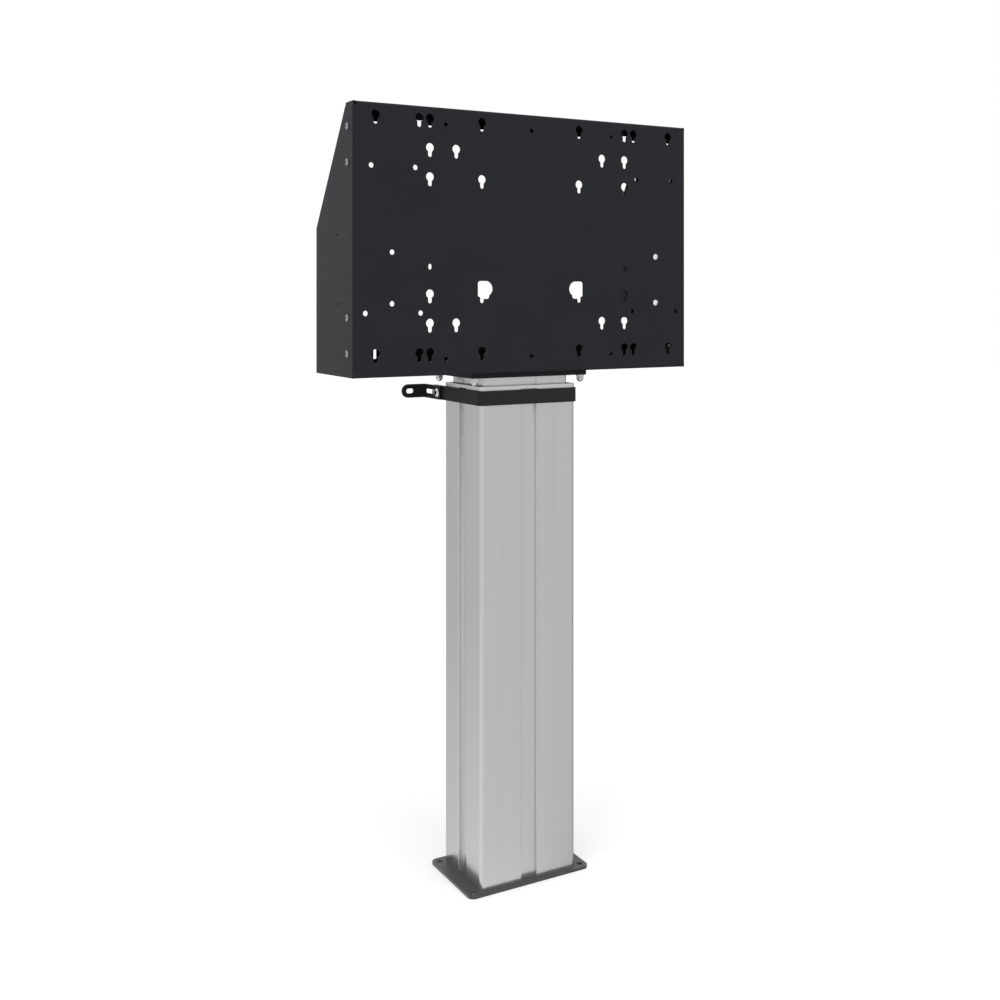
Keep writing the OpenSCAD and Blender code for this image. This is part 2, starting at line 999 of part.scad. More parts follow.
// Front plate and side panels, folded from one sheet
module front_and_sides() {
  difference() {
    intersection() {
      between(frame_z, frame_top)
        translate([-frame_w / 2, frame_rear])
          rotate(-90)
            folded_strip([frame_d - bend_r, frame_w - 2 * bend_r, frame_d - bend_r], sheet_t, bend_r);
      across(frame_w + 2 * over)
        polygon([
          [-frame_front - over, frame_z - over],
          [frame_rear + over, frame_z - over],
          [frame_rear + over, frame_z + frame_straight_h],
          [frame_rear, frame_z + frame_straight_h],
          [frame_top_rear, frame_top],
          [-frame_front - over, frame_top + over]
        ]);
    }
    for (z = [frame_z - over, frame_top - bend_r])
      translate([-frame_w / 2 + bend_r - seam_w / 2, -frame_front - over, z])
        cube([frame_w - 2 * bend_r + seam_w, sheet_t + 2 * over, bend_r + over]);
  }
}

// Flanges and lips along the top and the bottom, folded from the same sheet
module top_and_bottom() {
  across(frame_w - 2 * bend_r - seam_w)
    translate([frame_top_rear, frame_top - lip_h])
      rotate(90)
        folded_strip([
          lip_h - bend_r,
          frame_top_d - 2 * bend_r,
          frame_h - 2 * bend_r,
          frame_d - 2 * bend_r,
          low_lip_h - bend_r
        ], sheet_t, bend_r);
}

module display_frame() {
  color("#2d2e33")
    difference() {
      union() {
        front_and_sides();
        top_and_bottom();
      }
      facing_front(plate_back + over, sheet_t + 2 * over) {
        translate([0, pattern])
          front_openings_2d();
        frame_edge_holes_2d();
        for (x = [-control_mid_x, control_mid_x], z = [control_top_z, control_low_z])
          translate([x, z])
            circle(d = small_hole_dia);
        for (s = [-1, 1], z = [frame_z + bend_r, frame_top - bend_r])
          translate([s * (frame_w / 2 - bend_r), z])
            circle(r = relief_r);
      }
      across(frame_w + 2 * over) {
        for (z = side_screw_levels)
          translate([side_screw_row, z])
            circle(d = m6 + play);
        for (place = side_holes)
          translate([place[0] - frame_front, pattern + place[1]])
            circle(d = m5);
      }
      between(frame_z - over, frame_z + sheet_t + over) {
        at_corners(head_bolt_dx / 2, head_bolt_dy / 2)
          circle(d = m8 + play);
        translate([-cable_hole_x, 0])
          circle(d = cable_hole_dia);
      }
      for (s = [-1, 1])
        translate([s * notch_x - notch_w / 2, frame_top_rear - sheet_t - over, frame_top - lip_h - over])
          cube([notch_w, sheet_t + 2 * over, notch_h + over]);
      rivet_holes();
    }
}

// Rear brace

module rivet_holes() {
  facing_front(frame_rear + over, sheet_t + brace_t + 2 * over)
    for (x = rivet_xs)
      translate([x, rivet_z])
        circle(d = m5);
}

module rear_brace() {
  outer_r = brace_t + 2;
  brace_z = frame_z + sheet_t;
  brace_y = frame_rear - sheet_t;
  brace_slot_start = 8;
  color("#26272a")
    difference() {
      across(frame_w - 2 * (sheet_t + brace_gap))
        translate([brace_y - brace_foot, brace_z])
          folded_strip([brace_foot - outer_r, brace_h - outer_r], brace_t, outer_r);
      rivet_holes();
      facing_front(brace_y + over, brace_t + 2 * over)
        for (s = [-1, 1])
          translate([s * brace_slot_x, brace_z + outer_r + brace_slot_start + brace_slot_len / 2])
            rotate(90)
              slot_2d(brace_slot_len, brace_slot_w);
      between(brace_z - over, brace_z + brace_t + over)
        at_corners(head_bolt_dx / 2, head_bolt_dy / 2)
          circle(d = m8 + play);
    }
}

module brace_rivets() {
  rivet_head_h = 1.5;
  dome_r = 0.85 * rivet_head_dia;
  color("#26272a")
    for (x = rivet_xs)
      translate([x, frame_rear, rivet_z])
        rotate([-90, 0, 0]) {
          intersection() {
            cylinder(d = rivet_head_dia, h = rivet_head_h);
            translate([0, 0, rivet_head_h - dome_r])
              sphere(r = dome_r);
          }
          translate([0, 0, -sheet_t - brace_t - rivet_head_h])
            cylinder(d = m5, h = sheet_t + brace_t + rivet_head_h);
        }
}

// Side screws

module side_screws() {
  head_h = 3.3;
  tip = 3;
  color("#b9bbbd")
    for (s = [-1, 1], z = side_screw_levels)
      translate([s * frame_w / 2, side_screw_row, z])
        rotate([0, s * 90, 0])
          round_head_screw(m6, side_head_dia, head_h, sheet_t + spacer_len + tip);
}

module side_spacers() {
  color("#26272a")
    for (s = [-1, 1], z = side_screw_levels)
      translate([s * (frame_w / 2 - sheet_t - spacer_len), side_screw_row, z])
        rotate([0, s * 90, 0])
          washer(m6, spacer_dia, spacer_len);
}

// Control box and its bracket

// Bracket behind the front plate, cut away round the keyholes beside it
module control_bracket() {
  edge = 6;
  margin = 14;
  reach = 80;
  high_reach = 42;
  step_down = 22;
  slope_low = 60;
  slope_high = 109;
  left = control_mid_x - reach;
  high_left = control_mid_x - high_reach;
  low_left = box_x - box_w / 2;
  right = box_x + box_w / 2;
  top = box_z + box_screw_dz / 2 + margin;
  bottom = box_z - box_screw_dz / 2 - margin;
  low_step = pattern - small_d / 2 - step_down;
  slope_start = pattern + slope_low;
  slope_end = pattern + slope_high;
  slope_in = 17;
  color("#2d2e33")
    difference() {
      facing_front(plate_back + control_plate_t, control_plate_t)
        polygon([
          [low_left, bottom],
          [right - edge, bottom],
          [right, bottom + edge],
          [right, top - edge],
          [right - edge, top],
          [high_left, top],
          [high_left, slope_end],
          [left + slope_in, slope_end],
          [left, slope_start],
          [left, low_step],
          [low_left, low_step]
        ]);
      facing_front(plate_back + control_plate_t + over, control_plate_t + 2 * over) {
        for (z = [control_top_z, control_low_z])
          translate([control_mid_x, z])
            circle(d = m6 + play);
        box_screw_places()
          circle(d = m4);
      }
    }
}

module bracket_screws() {
  head_dia = 10.8;
  head_h = 3;
  color("#c4c6c8")
    for (z = [control_top_z, control_low_z])
      translate([control_mid_x, -frame_front, z])
        rotate([90, 0, 0])
          round_head_screw(m6, head_dia, head_h, sheet_t + control_plate_t + m6_nut_h + over);
}

module bracket_nuts() {
  color("#b9bbbd")
    for (z = [control_top_z, control_low_z])
      translate([control_mid_x, plate_back + control_plate_t, z])
        rotate([-90, 0, 0])
          nut(m6, m6_nut_af, m6_nut_h);
}

// Places of the control box's four screws in the X and Z plane
module box_screw_places() {
  for (sx = [-1, 1], sz = [-1, 1])
    translate([box_x + sx * box_screw_dx / 2, box_z + sz * box_screw_dz / 2])
      children();
}

module control_box() {
  color("#1c1d1f")
    difference() {
      union() {
        facing_front(box_back + box_flange_t, box_flange_t)
          translate([box_x, box_z])
            rounded_rect(box_w, box_screw_dz + 2 * box_edge, box_r);
        facing_front(box_back + box_d / 2, box_d / 2)
          translate([box_x, box_z])
            rounded_rect(box_w, box_h, box_r);
        facing_front(box_back, box_foot_h)
          box_screw_places()
            circle(d = 3 * m4);
      }
      facing_front(box_back + box_flange_t + over, box_foot_h + box_flange_t + 2 * over)
        box_screw_places()
          circle(d = m4);
    }
}

module control_box_lid() {
  lid_y = box_back + box_d / 2;
  rim = 1.5;
  ribs = 12;
  rib_slot = [box_w - 24, 4];
  rib_depth = 3;
  color("#232427")
    difference() {
      union() {
        facing_front(lid_y + box_split, box_split)
          translate([box_x, box_z])
            rounded_rect(box_w - 2 * rim, box_h - 2 * rim, box_r - rim);
        facing_front(lid_y + box_d / 2, box_d / 2 - box_split)
          translate([box_x, box_z])
            rounded_rect(box_w, box_h, box_r);
      }
      facing_front(lid_y + box_d / 2 + over, rib_depth + over)
        for (i = [0:ribs - 1])
          translate([box_x, box_z + (i - (ribs - 1) / 2) * box_h / (ribs + 4)])
            slot_2d(rib_slot[0], rib_slot[1]);
    }
}

module control_box_screws() {
  color("#b9bbbd")
    box_screw_places_3d()
      round_head_screw(m4, 2 * m4, 2.4, box_flange_t + box_foot_h + control_plate_t);
}

// Seats of the control box's screws, pointing to the front
module box_screw_places_3d() {
  for (sx = [-1, 1], sz = [-1, 1])
    translate([box_x + sx * box_screw_dx / 2, box_back + box_flange_t,
        box_z + sz * box_screw_dz / 2])
      rotate([-90, 0, 0])
        children();
}

// Socket shell standing on the box's lower end, in the lid's half
module socket_shell(x, w, d, wall, h, floor_t) {
  translate([x, box_socket_y, box_z - box_h / 2])
    mirror([0, 0, 1])
      difference() {
        linear_extrude(h)
          rounded_rect(w, d, 2 * wall);
        translate([0, 0, floor_t])
          linear_extrude(h)
            rounded_rect(w - 2 * wall, d - 2 * wall, wall);
      }
}

module mains_inlet() {
  inlet = [28, 20];
  color("#141516")
    socket_shell(box_x - inlet[0] / 2 - 2, inlet[0], inlet[1], 1.5, 6, 1.5);
}

module control_sockets() {
  socket_w = 14;
  color("#303236")
    for (i = [0, 1])
      socket_shell(box_x + socket_w / 2 + 2 + i * (socket_w + 3), socket_w, socket_w, 1, 4, 1);
}

module cable_grommet() {
  rim_t = 2;
  rim_w = 3;
  color("#1c1d1f")
    translate([-cable_hole_x, 0, 0])
      difference() {
        union() {
          between(head_z, frame_z + sheet_t)
            circle(d = cable_hole_dia);
          between(frame_z + sheet_t, frame_z + sheet_t + rim_t)
            circle(d = cable_hole_dia + 2 * rim_w);
        }
        between(head_z - over, frame_z + sheet_t + rim_t + over)
          circle(d = cable_hole_dia - 2 * rim_w);
      }
}

// Motor, gearbox and bearing under the head plate

module standoffs() {
  color("#a9abad")
    at_corners(standoff_x, standoff_x)
      difference() {
        between(gearbox_z, head_z)
          circle(d = standoff_dia);
        between(gearbox_z - over, gearbox_z + bite)
          circle(d = m6);
        between(head_z - bite, head_z + over)
          circle(d = m6);
      }
}

module standoff_screws() {
  color("#b9bbbd")
    translate([0, 0, head_top])
      at_corners(standoff_x, standoff_x)
        countersunk_screw(m6, head_t + bite - 2 * over);
}

// Nuts under the bearing plate, each one piece with the stud that it holds
module standoff_nuts() {
  color("#b9bbbd")
    at_corners(standoff_x, standoff_x)
      translate([0, 0, bearing_z]) {
        mirror([0, 0, 1])
          hex(m6_nut_af, m6_nut_h);
        cylinder(d = m6, h = bearing_plate_t + bite - 2 * over);
      }
}

module bearing_plate() {
  color("#7d8084")
    difference() {
      between(bearing_z, gearbox_z)
        rounded_rect(bearing_plate_w, bearing_plate_w, 6);
      between(bearing_z - over, gearbox_z + over) {
        circle(d = bearing_dia);
        at_corners(standoff_x, standoff_x)
          circle(d = m6 + play);
      }
    }
}

module thrust_bearing() {
  color("#c4c6c8")
    difference() {
      between(bearing_z, gearbox_z)
        circle(d = bearing_dia);
      between(bearing_z - over, gearbox_z + over)
        circle(d = bore_dia);
    }
}

module gearbox() {
  color("#6f7276")
    difference() {
      between(gearbox_z, motor_z)
        rounded_rect(gearbox_w, gearbox_w, 8);
      between(gearbox_z - over, gearbox_z + spindle_head + 3)
        circle(d = bore_dia);
    }
}

module motor() {
  color("#4a4c50")
    between(motor_z, motor_z + motor_h - motor_cap_h)
      circle(d = motor_dia);
}

module motor_cap() {
  boss_h = 3;
  color("#1c1d1f") {
    between(motor_z + motor_h - motor_cap_h, motor_z + motor_h - boss_h)
      circle(d = motor_dia);
    between(motor_z + motor_h - boss_h, motor_z + motor_h)
      circle(d = motor_dia / 3);
  }
}

// Lifting spindle, turned by the gearbox and hanging into the push tube
module spindle() {
  shoulder_h = 6;
  color("#a9abad") {
    between(spindle_z, gearbox_z + spindle_head)
      circle(d = spindle_dia);
    between(bearing_z - slide_gap - shoulder_h, bearing_z - slide_gap)
      circle(d = spindle_dia + 8);
  }
}

module spindle_stop() {
  stop_h = 8;
  color("#3a3c3f")
    difference() {
      between(spindle_z, spindle_z + stop_h)
        circle(d = tube_dia - 2 * tube_wall - 2 * slide_gap);
      between(spindle_z - over, spindle_z + stop_h + over)
        circle(d = spindle_dia);
    }
}

base_plate();
base_screws();
outer_column();
column_collar();
front_glide();
rear_glide();
clamp_band();
clamp_bar();
arm_guides();
arm_screws();
arm_nuts();
left_wall_arm();
right_wall_arm();
push_tube();
tube_screws();
drive_nut();
nut_pins();
inner_column();
lower_glides();
head_plate();
column_screws();
head_bolts();
head_washers();
head_cap_nuts();
display_frame();
rear_brace();
brace_rivets();
side_screws();
side_spacers();
control_bracket();
bracket_screws();
bracket_nuts();
control_box();
control_box_lid();
control_box_screws();
mains_inlet();
control_sockets();
cable_grommet();
standoffs();
standoff_screws();
standoff_nuts();
bearing_plate();
thrust_bearing();
gearbox();
motor();
motor_cap();
spindle();
spindle_stop();
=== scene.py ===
"""Looks of a motorised display lift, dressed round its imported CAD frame.

Metres throughout, X to the right, Y to the wall, Z up from the floor.
"""

import json
import math

import bmesh
import bpy
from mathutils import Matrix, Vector


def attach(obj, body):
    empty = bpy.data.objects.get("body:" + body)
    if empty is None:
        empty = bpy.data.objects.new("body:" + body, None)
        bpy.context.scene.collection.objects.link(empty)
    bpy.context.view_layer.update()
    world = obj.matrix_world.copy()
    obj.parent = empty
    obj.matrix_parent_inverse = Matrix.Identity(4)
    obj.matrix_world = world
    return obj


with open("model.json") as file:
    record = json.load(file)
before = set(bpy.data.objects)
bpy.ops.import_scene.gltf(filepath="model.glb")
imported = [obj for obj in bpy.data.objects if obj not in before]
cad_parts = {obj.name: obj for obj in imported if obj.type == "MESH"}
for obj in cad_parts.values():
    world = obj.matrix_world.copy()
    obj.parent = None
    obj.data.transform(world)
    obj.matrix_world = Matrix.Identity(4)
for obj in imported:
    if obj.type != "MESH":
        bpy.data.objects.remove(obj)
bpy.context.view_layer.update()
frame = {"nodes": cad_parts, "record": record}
MM = 0.001

# Camera of the reference view: level, turned by its yaw in degrees, its picture shifted down
CAMERA_AT = (-1.0877, -1.9785, 1.055)
CAMERA_YAW = -30
CAMERA_LENS = 43.98
CAMERA_SHIFT = (-0.0350, -0.2059)
CAMERA_REACH = 100


def add_camera():
    """The camera of the reference view."""
    data = bpy.data.cameras.new("camera")
    data.lens = CAMERA_LENS
    data.shift_x, data.shift_y = CAMERA_SHIFT
    data.clip_end = CAMERA_REACH
    camera = bpy.data.objects.new("camera", data)
    camera.location = CAMERA_AT
    camera.rotation_euler = (math.radians(90), 0, math.radians(CAMERA_YAW))
    bpy.context.scene.collection.objects.link(camera)
    bpy.context.scene.camera = camera


# Stage: pale floor, white backdrop and soft lamps

FLOOR_SIZE = 60
FLOOR_DROP = 0.2 * MM
FLOOR_COLOUR = (0.86, 0.86, 0.86, 1)
# Light that the floor adds for the camera: at the object, and at the reach and beyond
SEEN_LIFT = (0.37, 0.66)
SEEN_REACH = 6.0
# How bright mirrored rays see the floor, in the same way, and what each side adds
MIRRORED_GLOW = (1.04, 1.0)
MIRRORED_REACH = 1.9
MIRRORED_SIDES = {
    (-0.876, -0.482, 0): (0.19, 0.19),
    (-0.876, 0.482, 0): (0.26, 0.02),
    (0.876, 0.482, 0): (-0.6, -0.6),
}
WHITE = (1, 1, 1, 1)
AMBIENT = 0.42
# Place, aim, side and watts of each square lamp
LAMPS = {
    "key": ((-2.8, -1.4, 3.8), (0, 0, 0.9), 2.4, 34),
    "fill": ((1.0, -3.4, 1.8), (0, 0, 0.9), 2.4, 24),
    "top": ((0, -0.4, 4.2), (0, 0, 0), 3.0, 60),
}


def math_node(tree, operation, first, second=None):
    """The output of a Math node; each input is a socket to link or a number."""
    node = tree.nodes.new("ShaderNodeMath")
    node.operation = operation
    for i, value in enumerate((first, second)):
        if isinstance(value, (int, float)):
            node.inputs[i].default_value = value
        elif value is not None:
            tree.links.new(value, node.inputs[i])
    return node.outputs[0]


def vector_node(tree, operation, first, second=None):
    """A Vector Math node; the first input is a socket to link, the second one a vector."""
    node = tree.nodes.new("ShaderNodeVectorMath")
    node.operation = operation
    tree.links.new(first, node.inputs[0])
    if second is not None:
        node.inputs[1].default_value = second
    return node


def with_distance(tree, distance, values, reach):
    """Goes from the first value at the object to the second one at the reach and beyond."""
    node = tree.nodes.new("ShaderNodeMapRange")
    node.inputs["From Max"].default_value = reach
    node.inputs["To Min"].default_value, node.inputs["To Max"].default_value = values
    tree.links.new(distance, node.inputs["Value"])
    return node.outputs["Result"]


def mirrored_rays(tree, rays):
    """1 for mirrored rays and for rays through glass, otherwise 0."""
    return math_node(tree, "MAXIMUM", rays.outputs["Is Glossy Ray"], rays.outputs["Is Transmission Ray"])


def set_world():
    """White for the camera and for mirrored rays, and an even soft light for the rest."""
    world = bpy.data.worlds.new("studio")
    world.use_nodes = True
    tree = world.node_tree
    tree.nodes.clear()
    output = tree.nodes.new("ShaderNodeOutputWorld")
    mix = tree.nodes.new("ShaderNodeMixShader")
    ambient = tree.nodes.new("ShaderNodeBackground")
    ambient.inputs["Strength"].default_value = AMBIENT
    backdrop = tree.nodes.new("ShaderNodeBackground")
    for background in (ambient, backdrop):
        background.inputs["Color"].default_value = WHITE
    rays = tree.nodes.new("ShaderNodeLightPath")
    shown = math_node(tree, "MAXIMUM", rays.outputs["Is Camera Ray"], mirrored_rays(tree, rays))
    tree.links.new(shown, mix.inputs["Fac"])
    tree.links.new(ambient.outputs[0], mix.inputs[1])
    tree.links.new(backdrop.outputs[0], mix.inputs[2])
    tree.links.new(mix.outputs[0], output.inputs["Surface"])
    bpy.context.scene.world = world


def mirrored_glow(tree, place, distance):
    """How bright mirrored rays see the floor: brighter to the left and darker behind on the right."""
    away = vector_node(tree, "NORMALIZE", place).outputs["Vector"]
    glow = with_distance(tree, distance, MIRRORED_GLOW, MIRRORED_REACH)
    for side, lifts in MIRRORED_SIDES.items():
        towards = vector_node(tree, "DOT_PRODUCT", away, side).outputs["Value"]
        facing = math_node(tree, "MAXIMUM", towards, 0)
        lift = with_distance(tree, distance, lifts, MIRRORED_REACH)
        glow = math_node(tree, "ADD", glow, math_node(tree, "MULTIPLY", facing, lift))
    return glow


def floor_material():
    """Pale matt floor, lifted to white for the camera, and a glowing one for mirrored rays."""
    material = bpy.data.materials.new("floor")
    material.use_nodes = True
    tree = material.node_tree
    tree.nodes.clear()
    output = tree.nodes.new("ShaderNodeOutputMaterial")
    seen = tree.nodes.new("ShaderNodeAddShader")
    mix = tree.nodes.new("ShaderNodeMixShader")
    paint = tree.nodes.new("ShaderNodeBsdfDiffuse")
    paint.inputs["Color"].default_value = FLOOR_COLOUR
    lift = tree.nodes.new("ShaderNodeEmission")
    mirrored = tree.nodes.new("ShaderNodeEmission")
    place = tree.nodes.new("ShaderNodeTexCoord").outputs["Object"]
    distance = vector_node(tree, "LENGTH", place).outputs["Value"]
    rays = tree.nodes.new("ShaderNodeLightPath")
    seen_lift = with_distance(tree, distance, SEEN_LIFT, SEEN_REACH)
    camera_lift = math_node(tree, "MULTIPLY", seen_lift, rays.outputs["Is Camera Ray"])
    tree.links.new(camera_lift, lift.inputs["Strength"])
    tree.links.new(mirrored_glow(tree, place, distance), mirrored.inputs["Strength"])
    tree.links.new(paint.outputs[0], seen.inputs[0])
    tree.links.new(lift.outputs[0], seen.inputs[1])
    tree.links.new(mirrored_rays(tree, rays), mix.inputs["Fac"])
    tree.links.new(seen.outputs[0], mix.inputs[1])
    tree.links.new(mirrored.outputs[0], mix.inputs[2])
    tree.links.new(mix.outputs[0], output.inputs["Surface"])
    return material


def add_floor():
    """The floor, just under the base plate."""
    mesh = bpy.data.meshes.new("floor")
    half = FLOOR_SIZE / 2
    corners = [(-half, -half, 0), (half, -half, 0), (half, half, 0), (-half, half, 0)]
    mesh.from_pydata(corners, [], [(0, 1, 2, 3)])
    floor = bpy.data.objects.new("floor", mesh)
    floor.location.z = -FLOOR_DROP
    bpy.context.scene.collection.objects.link(floor)
    mesh.materials.append(floor_material())


def add_lamps():
    """The soft lamps, which mirrored rays don't see."""
    for name, (place, aim, side, watts) in LAMPS.items():
        data = bpy.data.lights.new(name, "AREA")
        data.shape = "SQUARE"
        data.size = side
        data.energy = watts
        lamp = bpy.data.objects.new(name, data)
        lamp.location = place
        beam = Vector(aim) - Vector(place)
        lamp.rotation_euler = beam.to_track_quat("-Z", "Y").to_euler()
        lamp.visible_glossy = False
        bpy.context.scene.collection.objects.link(lamp)


add_camera()
set_world()
add_floor()
add_lamps()
bpy.context.scene.view_settings.view_transform = "Standard"


# Materials

ALUMINIUM_METALLIC = 0.85
ALUMINIUM_EDGE_TINT = (0.5, 0.5, 0.5, 1)
# The outer column's width and depth, the width and depth of its grooves, and its hairlines' place
COLUMN = (194 * MM, 146 * MM)
FRONT_GROOVE = (31 * MM, 6 * MM)
SIDE_GROOVE = (30 * MM, 5.5 * MM)
HAIRLINE_X = 51 * MM
# How far from a groove's faces and from a hairline's middle their colours, which are painted light, reach
GROOVE_REACH = 0.1 * MM
HAIRLINE_REACH = 0.31 * MM
# Painted light: the groove flanks are coloured lighter, standing in for light inside the grooves
FLANK_PAINTED_LIGHT = (0.76, 0.76, 0.76)
# Painted highlight: the light colour of the strips on the groove floors
STRIP_PAINTED_HIGHLIGHT = (0.68, 0.68, 0.68)
# Painted light: the hairlines' insides are coloured lighter, against the shade in them
HAIRLINE_PAINTED_LIGHT = (0.7, 0.7, 0.7)
# Painted highlight: light strips on the floors of the front and left grooves: start and end from each
# flank
FRONT_STRIP = (1.2 * MM, 3.7 * MM)
LEFT_STRIP = (0.1 * MM, 9.9 * MM)
# Heights between which the strips turn from bare metal to matt
MATT_FOOT = (15 * MM, 60 * MM)


class Finish:
    """A material in the making: a surface shader and textures laid out in the object's own metres."""

    def __init__(self, name, colour, roughness, metallic=0, specular=0.5):
        self.material = bpy.data.materials.new(name)
        self.material.use_nodes = True
        self.tree = self.material.node_tree
        self.shader = self.tree.nodes["Principled BSDF"]
        self.shader.inputs["Base Color"].default_value = (*colour, 1)
        self.shader.inputs["Roughness"].default_value = roughness
        self.shader.inputs["Metallic"].default_value = metallic
        self.shader.inputs["Specular IOR Level"].default_value = specular
        self.colour = colour
        self.roughness = roughness
        self.place = self.tree.nodes.new("ShaderNodeTexCoord").outputs["Object"]

    def link(self, source, target):
        self.tree.links.new(source, target)

    def noise(self, size, stretch=(1, 1, 1), detail=2):
        """Soft noise whose grains are about size metres wide, stretched along each axis."""
        mapping = self.tree.nodes.new("ShaderNodeMapping")
        mapping.inputs["Scale"].default_value = [1 / (size * s) for s in stretch]
        texture = self.tree.nodes.new("ShaderNodeTexNoise")
        texture.inputs["Scale"].default_value = 1
        texture.inputs["Detail"].default_value = detail
        self.link(self.place, mapping.inputs["Vector"])
        self.link(mapping.outputs["Vector"], texture.inputs["Vector"])
        return texture.outputs["Fac"]

    def along(self, axis):
        """The place along one axis."""
        parts = self.tree.nodes.new("ShaderNodeSeparateXYZ")
        self.link(self.place, parts.inputs["Vector"])
        return parts.outputs[axis]

    def from_middle(self, axis):
        """The distance from the middle plane of one axis."""
        return math_node(self.tree, "ABSOLUTE", self.along(axis))

    def near(self, source, value, reach):
        """1 where the source is within reach of the value, otherwise 0."""
        match = math_node(self.tree, "COMPARE", source, value)
        match.node.inputs[2].default_value = reach
        return match

    def between_flanks(self, axis, flank, strip):
        """1 in the strips that start and end at those distances inside a groove's two flanks."""
        start, end = strip
        return self.near(self.from_middle(axis), flank - (start + end) / 2, (end - start) / 2)

    def within(self, middle, radius, seat):
        """1 near an axis along X through the middle and farther out than the seat, otherwise 0."""
        offset = vector_node(self.tree, "SUBTRACT", self.place, (0, middle.y, middle.z)).outputs["Vector"]
        flat = vector_node(self.tree, "MULTIPLY", offset, (0, 1, 1)).outputs["Vector"]
        distance = vector_node(self.tree, "LENGTH", flat).outputs["Value"]
        return self.both(
            math_node(self.tree, "LESS_THAN", distance, radius),
            math_node(self.tree, "GREATER_THAN", self.from_middle("X"), seat),
        )

    def above(self, heights):
        """0 below the first height and 1 above the second, with an even change between."""
        return self.spread(self.along("Z"), 0, 1, *heights)

    def either(self, first, second):
        """The greater of two sources."""
        return math_node(self.tree, "MAXIMUM", first, second)

    def both(self, first, second):
        """The lesser of two sources."""
        return math_node(self.tree, "MINIMUM", first, second)

    def tint(self, source, colour):
        """Blends the base colour towards another one where the source is 1."""
        base = self.shader.inputs["Base Color"]
        mix = self.tree.nodes.new("ShaderNodeMix")
        mix.data_type = "RGBA"
        mix.inputs["A"].default_value = base.default_value[:]
        if base.links:
            self.link(base.links[0].from_socket, mix.inputs["A"])
        mix.inputs["B"].default_value = (*colour, 1)
        self.link(source, mix.inputs["Factor"])
        self.link(mix.outputs["Result"], base)
        return self

    def spread(self, source, low, high, start=0.3, end=0.7):
        """The source's range from start to end mapped to low to high."""
        node = self.tree.nodes.new("ShaderNodeMapRange")
        node.inputs["From Min"].default_value = start
        node.inputs["From Max"].default_value = end
        node.inputs["To Min"].default_value = low
        node.inputs["To Max"].default_value = high
        self.link(source, node.inputs["Value"])
        return node.outputs["Result"]

    def shade(self, source, amount):
        """Lightens and darkens the base colour by amount as the source varies."""
        mix = self.tree.nodes.new("ShaderNodeMix")
        mix.data_type = "RGBA"
        mix.inputs["A"].default_value = (*[c * (1 - amount) for c in self.colour], 1)
        mix.inputs["B"].default_value = (*[min(1, c * (1 + amount)) for c in self.colour], 1)
        self.link(self.spread(source, 0, 1), mix.inputs["Factor"])
        self.link(mix.outputs["Result"], self.shader.inputs["Base Color"])
        return self

    def polish(self, source, less, more):
        """Varies the roughness from less below to more above its plain value as the source varies."""
        roughness = self.spread(source, self.roughness - less, self.roughness + more)
        self.link(roughness, self.shader.inputs["Roughness"])
        return self

    def relief(self, source, depth):
        """Gives the surface a relief of that depth in metres as the source varies."""
        node = self.tree.nodes.new("ShaderNodeBump")
        node.inputs["Strength"].default_value = 1
        node.inputs["Distance"].default_value = depth
        self.link(source, node.inputs["Height"])
        self.link(node.outputs["Normal"], self.shader.inputs["Normal"])
        return self


def powder_coat(name, colour, roughness, specular):
    """Baked powder paint: a fine orange peel with a faint unevenness in its sheen."""
    finish = Finish(name, colour, roughness, specular=specular)
    finish.shade(finish.noise(60 * MM), amount=0.04)
    finish.polish(finish.noise(9 * MM), less=0.03, more=0.03)
    return finish.relief(finish.noise(1.1 * MM, detail=3), depth=0.035 * MM)


def anodised(name, colour, roughness, grain=0.004 * MM):
    """Drawn and anodised aluminium: hair-fine streaks and broad soft bands along the column."""
    finish = Finish(name, colour, roughness, metallic=ALUMINIUM_METALLIC)
    streaks = finish.noise(1.6 * MM, stretch=(1, 1, 400))
    bands = finish.noise(14 * MM, stretch=(1, 1, 60), detail=1)
    finish.shade(bands, amount=0.012)
    finish.polish(streaks, less=0.02, more=0.02)
    finish.shader.inputs["Specular Tint"].default_value = ALUMINIUM_EDGE_TINT
    return finish.relief(streaks, depth=grain)


def grooved(name, colour, roughness):
    """The outer column's finish: anodising, matt strips, and painted light that makes the groove flanks
    bright, the hairlines faint and the strips light.
    """
    finish = anodised(name, colour, roughness)
    width, depth = COLUMN
    front_width, front_depth = FRONT_GROOVE
    side_width, side_depth = SIDE_GROOVE
    front_flank = finish.near(finish.from_middle("X"), front_width / 2, GROOVE_REACH)
    side_flank = finish.near(finish.from_middle("Y"), side_width / 2, GROOVE_REACH)
    front_strip = finish.both(
        finish.between_flanks("X", front_width / 2, FRONT_STRIP),
        finish.near(finish.along("Y"), front_depth - depth / 2, GROOVE_REACH),
    )
    left_strip = finish.both(
        finish.between_flanks("Y", side_width / 2, LEFT_STRIP),
        finish.near(finish.along("X"), side_depth - width / 2, GROOVE_REACH),
    )
    hairlines = finish.near(finish.from_middle("X"), HAIRLINE_X, HAIRLINE_REACH)
    strips = finish.either(front_strip, left_strip)
    matt = finish.both(strips, finish.above(MATT_FOOT))
    finish.link(
        finish.spread(matt, ALUMINIUM_METALLIC, 0, start=0, end=1),
        finish.shader.inputs["Metallic"],
    )
    # Painted highlight: the strips on the groove floors are coloured light
    finish.tint(strips, STRIP_PAINTED_HIGHLIGHT)
    # Painted light in the hairlines and on the groove flanks
    finish.tint(hairlines, HAIRLINE_PAINTED_LIGHT)
    return finish.tint(finish.either(front_flank, side_flank), FLANK_PAINTED_LIGHT)


